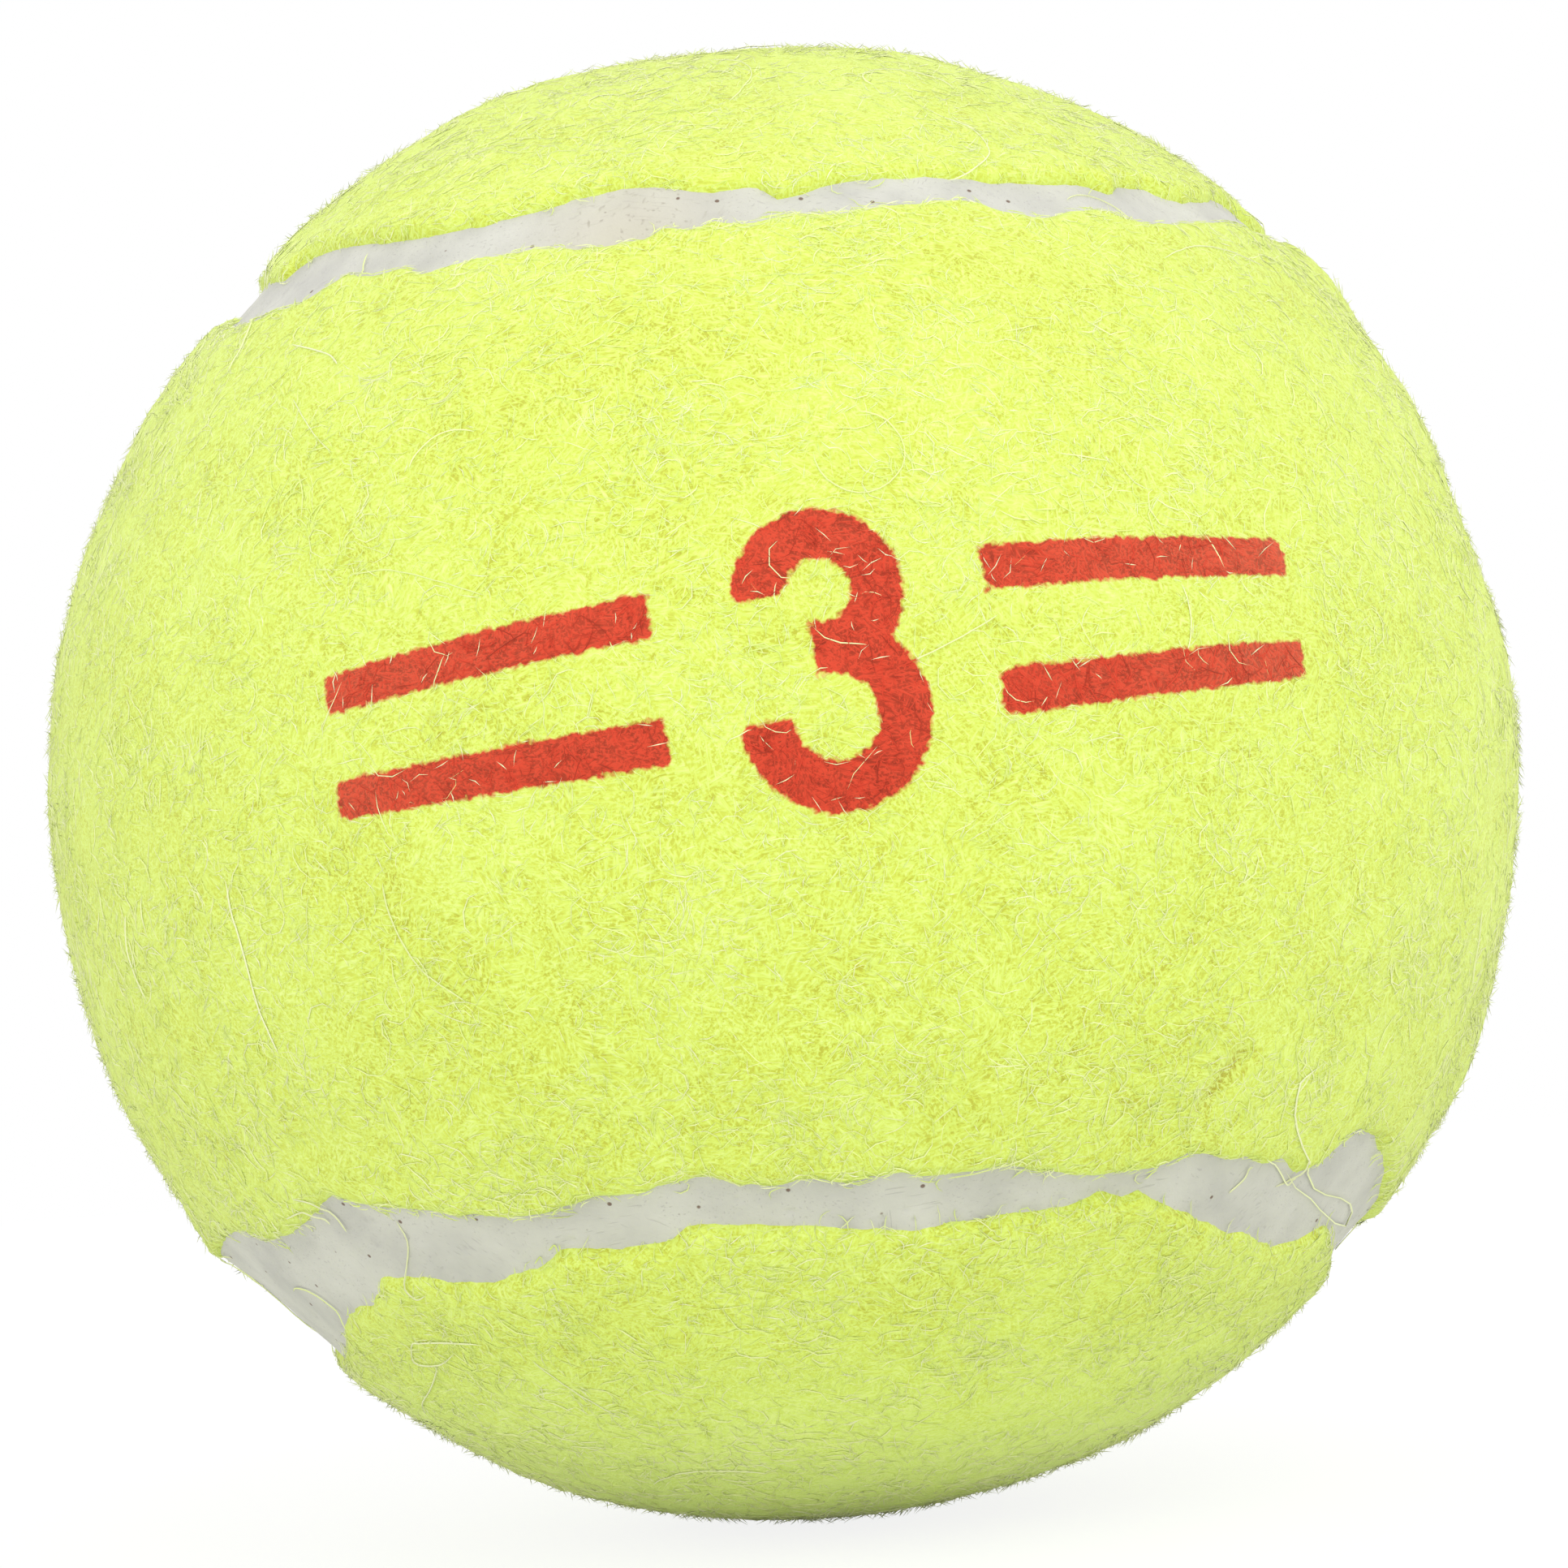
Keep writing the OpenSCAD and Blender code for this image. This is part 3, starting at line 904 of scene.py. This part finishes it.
def needled_felt():
    """Needled wool and nylon felt, dyed fluorescent yellow: matt and soft, of fine crossing strands
    with small darker gaps, partly painted shade between the strands, and paler where it is seen from
    the side."""
    material, tree = new_material("needled_felt")
    place = node(tree, "TexCoord").outputs["Object"]
    crossing = strands(tree, place, 1.1, 0.9, 0.11, 0.0)
    for patch, shift in ((0.9, 3.1), (1.4, 7.7)):
        layer = strands(tree, place, patch, 0.9, 0.11, shift)
        crossing = node(tree, "Math", {0: crossing, 1: layer}, operation="MAXIMUM")
    # Partly painted shade: the gaps and the open pores lower the tone towards the darker gap colour
    gap = node(tree, "TexNoise", {"Vector": place, "Scale": 2.4 / MM, "Detail": 2.0}).outputs[0]
    spread = node(tree, "MapRange", {"Value": crossing, 1: 0.48, 2: 0.74, 3: 0.0, 4: 0.75})
    tone = node(tree, "Math", {0: gap, 1: 0.35, 2: spread}, operation="MULTIPLY_ADD")
    pores = node(tree, "TexNoise", {"Vector": place, "Scale": 1.3 / MM, "Detail": 3.0}).outputs[0]
    open_pores = node(tree, "MapRange", {"Value": pores, 1: 0.6, 2: 0.72, 3: 0.0, 4: 0.16})
    tone = node(tree, "Math", {0: tone, 1: open_pores}, operation="SUBTRACT")
    # Between patches of open gaps the nap is matted shut and even
    patches = node(tree, "TexNoise", {"Vector": place, "Scale": 0.9 / MM, "Detail": 2.0}).outputs[0]
    shut = node(tree, "MapRange", {"Value": patches, 1: 0.42, 2: 0.6, 3: 0.0, 4: 0.25})
    tone = node(tree, "Mix", {0: shut, 2: tone, 3: 0.58})
    stops = ((0.08, FELT_GAP_SHADE), (0.32, FELT_DEEP), (0.62, FELT_BRIGHT), (1.0, FELT_PALE))
    felt = node(tree, "ValToRGB", {"Fac": clouds_and_painted_light(tree, place, tone, 0.4)}, stops)
    # The ink is darker where the tone is low, in the gaps, partly as painted shade
    ink = node(tree, "ValToRGB", {"Fac": tone}, ((0.15, INK_DARK), (0.6, INK_RED)))
    # Painted shade: in the crease the felt is mixed towards a darker colour, most of all in its gaps
    crease = node(tree, "Attribute", attribute_name="creased").outputs["Fac"]
    gaps = node(tree, "MapRange", {"Value": tone, 1: 0.25, 2: 0.6, 3: 1.0, 4: 0.15})
    crease = node(tree, "Math", {0: crease, 1: gaps}, operation="MULTIPLY")
    felt = node(tree, "Mix", {0: crease, 6: felt, 7: linear(FELT_CREASE_SHADE)}, data_type="RGBA")
    felt = felt.outputs[2]
    printed = node(tree, "Mix", {0: inked(tree, place), 6: felt, 7: ink}, data_type="RGBA")
    bump = node(tree, "Bump", {"Strength": 0.5, "Distance": 0.05 * MM, "Height": tone})
    surface(tree, {
        "Base Color": printed.outputs[2],
        "Normal": bump,
        "Roughness": 0.95,
        "Sheen Weight": 0.5,
        "Sheen Roughness": 0.6,
        "Sheen Tint": linear(SHEEN_PALE),
        "Specular IOR Level": 0.2,
    })
    return material


def felt_fibre(name, colours, clean):
    """Single wool or nylon fibres of the nap: faintly glossy, and no two of one tone. Those above
    the clean tone rose after the print, and show no ink."""
    material, tree = new_material(name)
    place = node(tree, "TexCoord").outputs["Object"]
    tone = node(tree, "Attribute", attribute_name="tone").outputs["Fac"]
    stops = tuple(zip((0.0, 0.5, 1.0), colours))
    colour = node(tree, "ValToRGB", {"Fac": clouds_and_painted_light(tree, place, tone, 0.6)}, stops)
    ink = node(tree, "ValToRGB", {"Fac": tone}, ((0.0, INK_DARK), (0.6, INK_RED)))
    takes = node(tree, "Math", {0: tone, 1: clean}, operation="LESS_THAN")
    mask = node(tree, "Math", {0: inked(tree, place), 1: takes}, operation="MULTIPLY")
    printed = node(tree, "Mix", {0: mask, 6: colour, 7: ink}, data_type="RGBA")
    surface(tree, {
        "Base Color": printed.outputs[2],
        "Roughness": 0.7,
        "Sheen Weight": 0.3,
        "Sheen Roughness": 0.6,
        "Sheen Tint": linear(SHEEN_PALE),
        "Specular IOR Level": 0.2,
    })
    return material


def seam_rubber():
    """Moulded white rubber solution, gone grey: matt, faintly mottled and scratched, with a few
    brown pinholes of a fifth of a millimetre."""
    material, tree = new_material("moulded_seam_rubber")
    place = node(tree, "TexCoord").outputs["Object"]
    cloud = node(tree, "TexNoise", {"Vector": place, "Scale": 0.35 / MM, "Detail": 4.0}).outputs[0]
    greys = ((0.3, SEAM_SHADED), (0.52, SEAM_GREY), (0.75, SEAM_LIGHT))
    base = node(tree, "ValToRGB", {"Fac": cloud}, greys)
    scratch = strands(tree, place, 2.6, 2.0, 0.10, 1.3)
    faint = node(tree, "MapRange", {"Value": scratch, 1: 0.64, 2: 0.72, 3: 0.0, 4: 0.5})
    worn = node(tree, "Mix", {0: faint, 6: base, 7: linear(SEAM_SCRATCH)}, data_type="RGBA")
    worn = worn.outputs[2]
    cells = node(tree, "TexVoronoi", {"Vector": place, "Scale": 0.8 / MM}).outputs["Distance"]
    hole = node(tree, "MapRange", {"Value": cells, 1: 0.055, 2: 0.085, 3: 0.85, 4: 0.0})
    # One stretch was torn rough in the mould: a little browner, with short dark tears
    rough = node(tree, "Attribute", attribute_name="rough").outputs["Fac"]
    stain = node(tree, "Math", {0: rough, 1: 0.7}, operation="MULTIPLY")
    stained = node(tree, "Mix", {0: stain, 6: worn, 7: linear(SEAM_STAIN)}, data_type="RGBA")
    stained = stained.outputs[2]
    torn = strands(tree, place, 1.8, 1.2, 0.26, 4.4)
    tears = node(tree, "MapRange", {"Value": torn, 1: 0.62, 2: 0.74, 3: 0.0, 4: 0.7})
    tears = node(tree, "Math", {0: tears, 1: rough}, operation="MULTIPLY")
    marked = node(tree, "Mix", {0: tears, 6: stained, 7: linear(SEAM_TEAR)}, data_type="RGBA")
    marked = marked.outputs[2]
    colour = node(tree, "Mix", {0: hole, 6: marked, 7: linear(PINHOLE_BROWN)}, data_type="RGBA")
    grain = node(tree, "TexNoise", {"Vector": place, "Scale": 7 / MM, "Detail": 2.0}).outputs[0]
    dents = node(tree, "Math", {0: faint, 1: hole}, operation="ADD")
    dents = node(tree, "Math", {0: dents, 1: tears}, operation="ADD")
    height = node(tree, "Math", {0: dents, 1: -0.8, 2: grain}, operation="MULTIPLY_ADD")
    bump = node(tree, "Bump", {"Strength": 0.5, "Distance": 0.04 * MM, "Height": height})
    surface(tree, {"Base Color": colour.outputs[2], "Normal": bump, "Roughness": 0.7})
    return material


def core_rubber():
    """Pressed natural rubber, black with carbon and clay: dull, with a fine buffed grain."""
    material, tree = new_material("pressed_core_rubber")
    place = node(tree, "TexCoord").outputs["Object"]
    grain = node(tree, "TexNoise", {"Vector": place, "Scale": 2.5 / MM, "Detail": 5.0}).outputs[0]
    colour = node(tree, "ValToRGB", {"Fac": grain}, tuple(zip((0.3, 0.7), CORE_BLACKS)))
    bump = node(tree, "Bump", {"Strength": 0.5, "Distance": 0.1 * MM, "Height": grain})
    surface(tree, {"Base Color": colour, "Normal": bump, "Roughness": 0.8})
    return material


def joint_rubber():
    """Cured rubber solution between the cups: brown-black and slightly shiny where it ran out."""
    material, tree = new_material("cured_joint_rubber")
    place = node(tree, "TexCoord").outputs["Object"]
    flow = node(tree, "TexNoise", {"Vector": place, "Scale": 0.6 / MM, "Detail": 3.0}).outputs[0]
    colour = node(tree, "ValToRGB", {"Fac": flow}, tuple(zip((0.3, 0.7), JOINT_BROWNS)))
    bump = node(tree, "Bump", {"Strength": 0.4, "Distance": 0.1 * MM, "Height": flow})
    surface(tree, {"Base Color": colour, "Normal": bump, "Roughness": 0.45})
    return material


def cover_cement():
    """Dried rubber cement on the core: amber, brushed on in streaks."""
    material, tree = new_material("dried_cover_cement")
    place = node(tree, "TexCoord").outputs["Object"]
    drawn = node(tree, "Mapping", {"Vector": place, "Scale": (0.2, 0.2, 1.5)})
    streak = node(tree, "TexNoise", {"Vector": drawn, "Scale": 0.8 / MM, "Detail": 3.0}).outputs[0]
    colour = node(tree, "ValToRGB", {"Fac": streak}, tuple(zip((0.3, 0.7), CEMENT_AMBERS)))
    bump = node(tree, "Bump", {"Strength": 0.3, "Distance": 0.05 * MM, "Height": streak})
    surface(tree, {"Base Color": colour, "Normal": bump, "Roughness": 0.5})
    return material


def backing_cloth():
    """Plain-woven cotton that carries the nap: yarns of half a millimetre, over and under."""
    material, tree = new_material("woven_backing_cotton")
    place = node(tree, "TexCoord").outputs["Object"]
    # A Wave texture makes 20 bands for each unit of its scale over a length of 2 pi
    bands = {"Vector": place, "Scale": math.tau / 20 / YARN, "Distortion": 0.3}
    warp = node(tree, "TexWave", bands, bands_direction="X").outputs[1]
    weft = node(tree, "TexWave", bands, bands_direction="Z").outputs[1]
    weave = node(tree, "Math", {0: warp, 1: weft}, operation="MULTIPLY")
    colour = node(tree, "ValToRGB", {"Fac": weave}, tuple(zip((0.0, 0.8), COTTON_CREAMS)))
    bump = node(tree, "Bump", {"Strength": 0.6, "Distance": 0.15 * MM, "Height": weave})
    surface(tree, {"Base Color": colour, "Normal": bump, "Roughness": 0.9})
    return material


def dress(piece, material, slot, *nodes):
    """Gives a new piece its finish, and its place in the assembly."""
    piece.data.materials.clear()
    piece.data.materials.append(material)
    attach(piece, "root")
    if nodes:
        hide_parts(*nodes)


def dress_nodes():
    """Gives the CAD nodes inside the ball their finishes."""
    rubber = core_rubber()
    cloth = backing_cloth()
    finishes = {
        "core_cup_upper": rubber,
        "core_cup_lower": rubber,
        "core_joint_ring": joint_rubber(),
        "cover_cement": cover_cement(),
        "backing_cloth_a": cloth,
        "backing_cloth_b": cloth,
    }
    for name, material in finishes.items():
        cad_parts[name].data.materials.clear()
        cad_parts[name].data.materials.append(material)


def build_felt():
    """Both panels with their layers of loose fibres, and the single long ones."""
    felt = needled_felt()
    raised = felt_fibre("raised_nylon_fibre", RAISED_COLOURS, 0.85)
    coats = {
        "matted": felt_fibre("matted_wool_fibre", MATTED_COLOURS, 0.97),
        "curled": felt_fibre("curled_nylon_fibre", CURLED_COLOURS, 0.92),
        "raised": raised,
        "fringe": raised,
    }
    for panel in "ab":
        dress(nap_panel(panel), felt, "felt_nap", "felt_nap_" + panel)
        for index, name in enumerate(FIBRE_LAYERS):
            seed = LAYER_SEED + 10 * index + (panel == "b")
            dress(fibre_layer(name, panel, seed), coats[name], "felt_nap")
    dress(stray_fibres(), raised, "felt_nap")


def make_camera():
    """The photograph's camera: less than four ball radii away, a little below the middle."""
    eye, right, up, back = camera_axes()
    data = bpy.data.cameras.new("photo_camera")
    data.sensor_width = SENSOR
    data.lens = FOCAL_PIXELS / IMAGE_SIDE * SENSOR
    data.clip_start = 0.005
    camera = bpy.data.objects.new("photo_camera", data)
    camera.matrix_world = Matrix.Translation(eye) @ Matrix((right, up, back)).transposed().to_4x4()
    bpy.context.scene.collection.objects.link(camera)
    bpy.context.scene.camera = camera


def make_lamps():
    """Soft lamps that look at the ball's centre."""
    for name, (place, side, watts) in LAMPS.items():
        data = bpy.data.lights.new(name, "AREA")
        data.size = side
        data.energy = watts
        lamp = bpy.data.objects.new(name, data)
        turn = Vector(place).to_track_quat("Z", "Y").to_matrix().to_4x4()
        lamp.matrix_world = Matrix.Translation(place) @ turn
        bpy.context.scene.collection.objects.link(lamp)


def seen_directly(tree):
    """1 for what the camera, a mirror or a glass shows directly, and 0 for light on things."""
    path = node(tree, "LightPath")
    rays = (path.outputs["Is Camera Ray"], path.outputs["Is Glossy Ray"])
    seen = node(tree, "Math", {0: rays[0], 1: rays[1]}, operation="ADD")
    through = path.outputs["Is Transmission Ray"]
    return node(tree, "Math", {0: seen, 1: through}, operation="ADD", use_clamp=True)


def make_stage():
    """A pale floor under the ball, and a white surround."""
    world = bpy.data.worlds.new("white_studio")
    bpy.context.scene.world = world
    world.use_nodes = True
    tree = world.node_tree
    tree.nodes.clear()
    light = node(tree, "Background", {"Color": (1, 1, 1, 1), "Strength": WORLD_LIGHT})
    seen = node(tree, "Background", {"Color": (1, 1, 1, 1), "Strength": 1.0})
    both = node(tree, "MixShader", {0: seen_directly(tree), 1: light, 2: seen})
    node(tree, "OutputWorld", {"Surface": both})
    bpy.ops.mesh.primitive_circle_add(
        vertices=96, radius=FLOOR_R, fill_type="NGON", location=(0, 0, FLOOR_Z)
    )
    floor = bpy.context.object
    floor.name = "floor"
    material, tree = new_material("white_floor")
    lit = node(tree, "BsdfPrincipled", {"Base Color": linear(FLOOR_WHITE), "Roughness": 0.9})
    seen = seen_directly(tree)
    level = node(tree, "Math", {0: seen, 1: WHITE_SHARE}, operation="MULTIPLY")
    white = node(tree, "Emission", {"Color": (1, 1, 1, 1), "Strength": level})
    thinned = node(tree, "Math", {0: seen, 1: 1 - LIT_SHARE}, operation="MULTIPLY")
    dark = node(tree, "Emission", {"Color": (0, 0, 0, 1), "Strength": 0.0})
    faint = node(tree, "MixShader", {0: thinned, 1: lit, 2: dark})
    both = node(tree, "AddShader", {0: faint, 1: white})
    node(tree, "OutputMaterial", {"Surface": both})
    floor.data.materials.append(material)
    bpy.context.scene.view_settings.view_transform = "Standard"


make_camera()
dress_nodes()
build_felt()
dress(seam_band(), seam_rubber(), "seam_rubber", "seam_strip")
make_lamps()
make_stage()
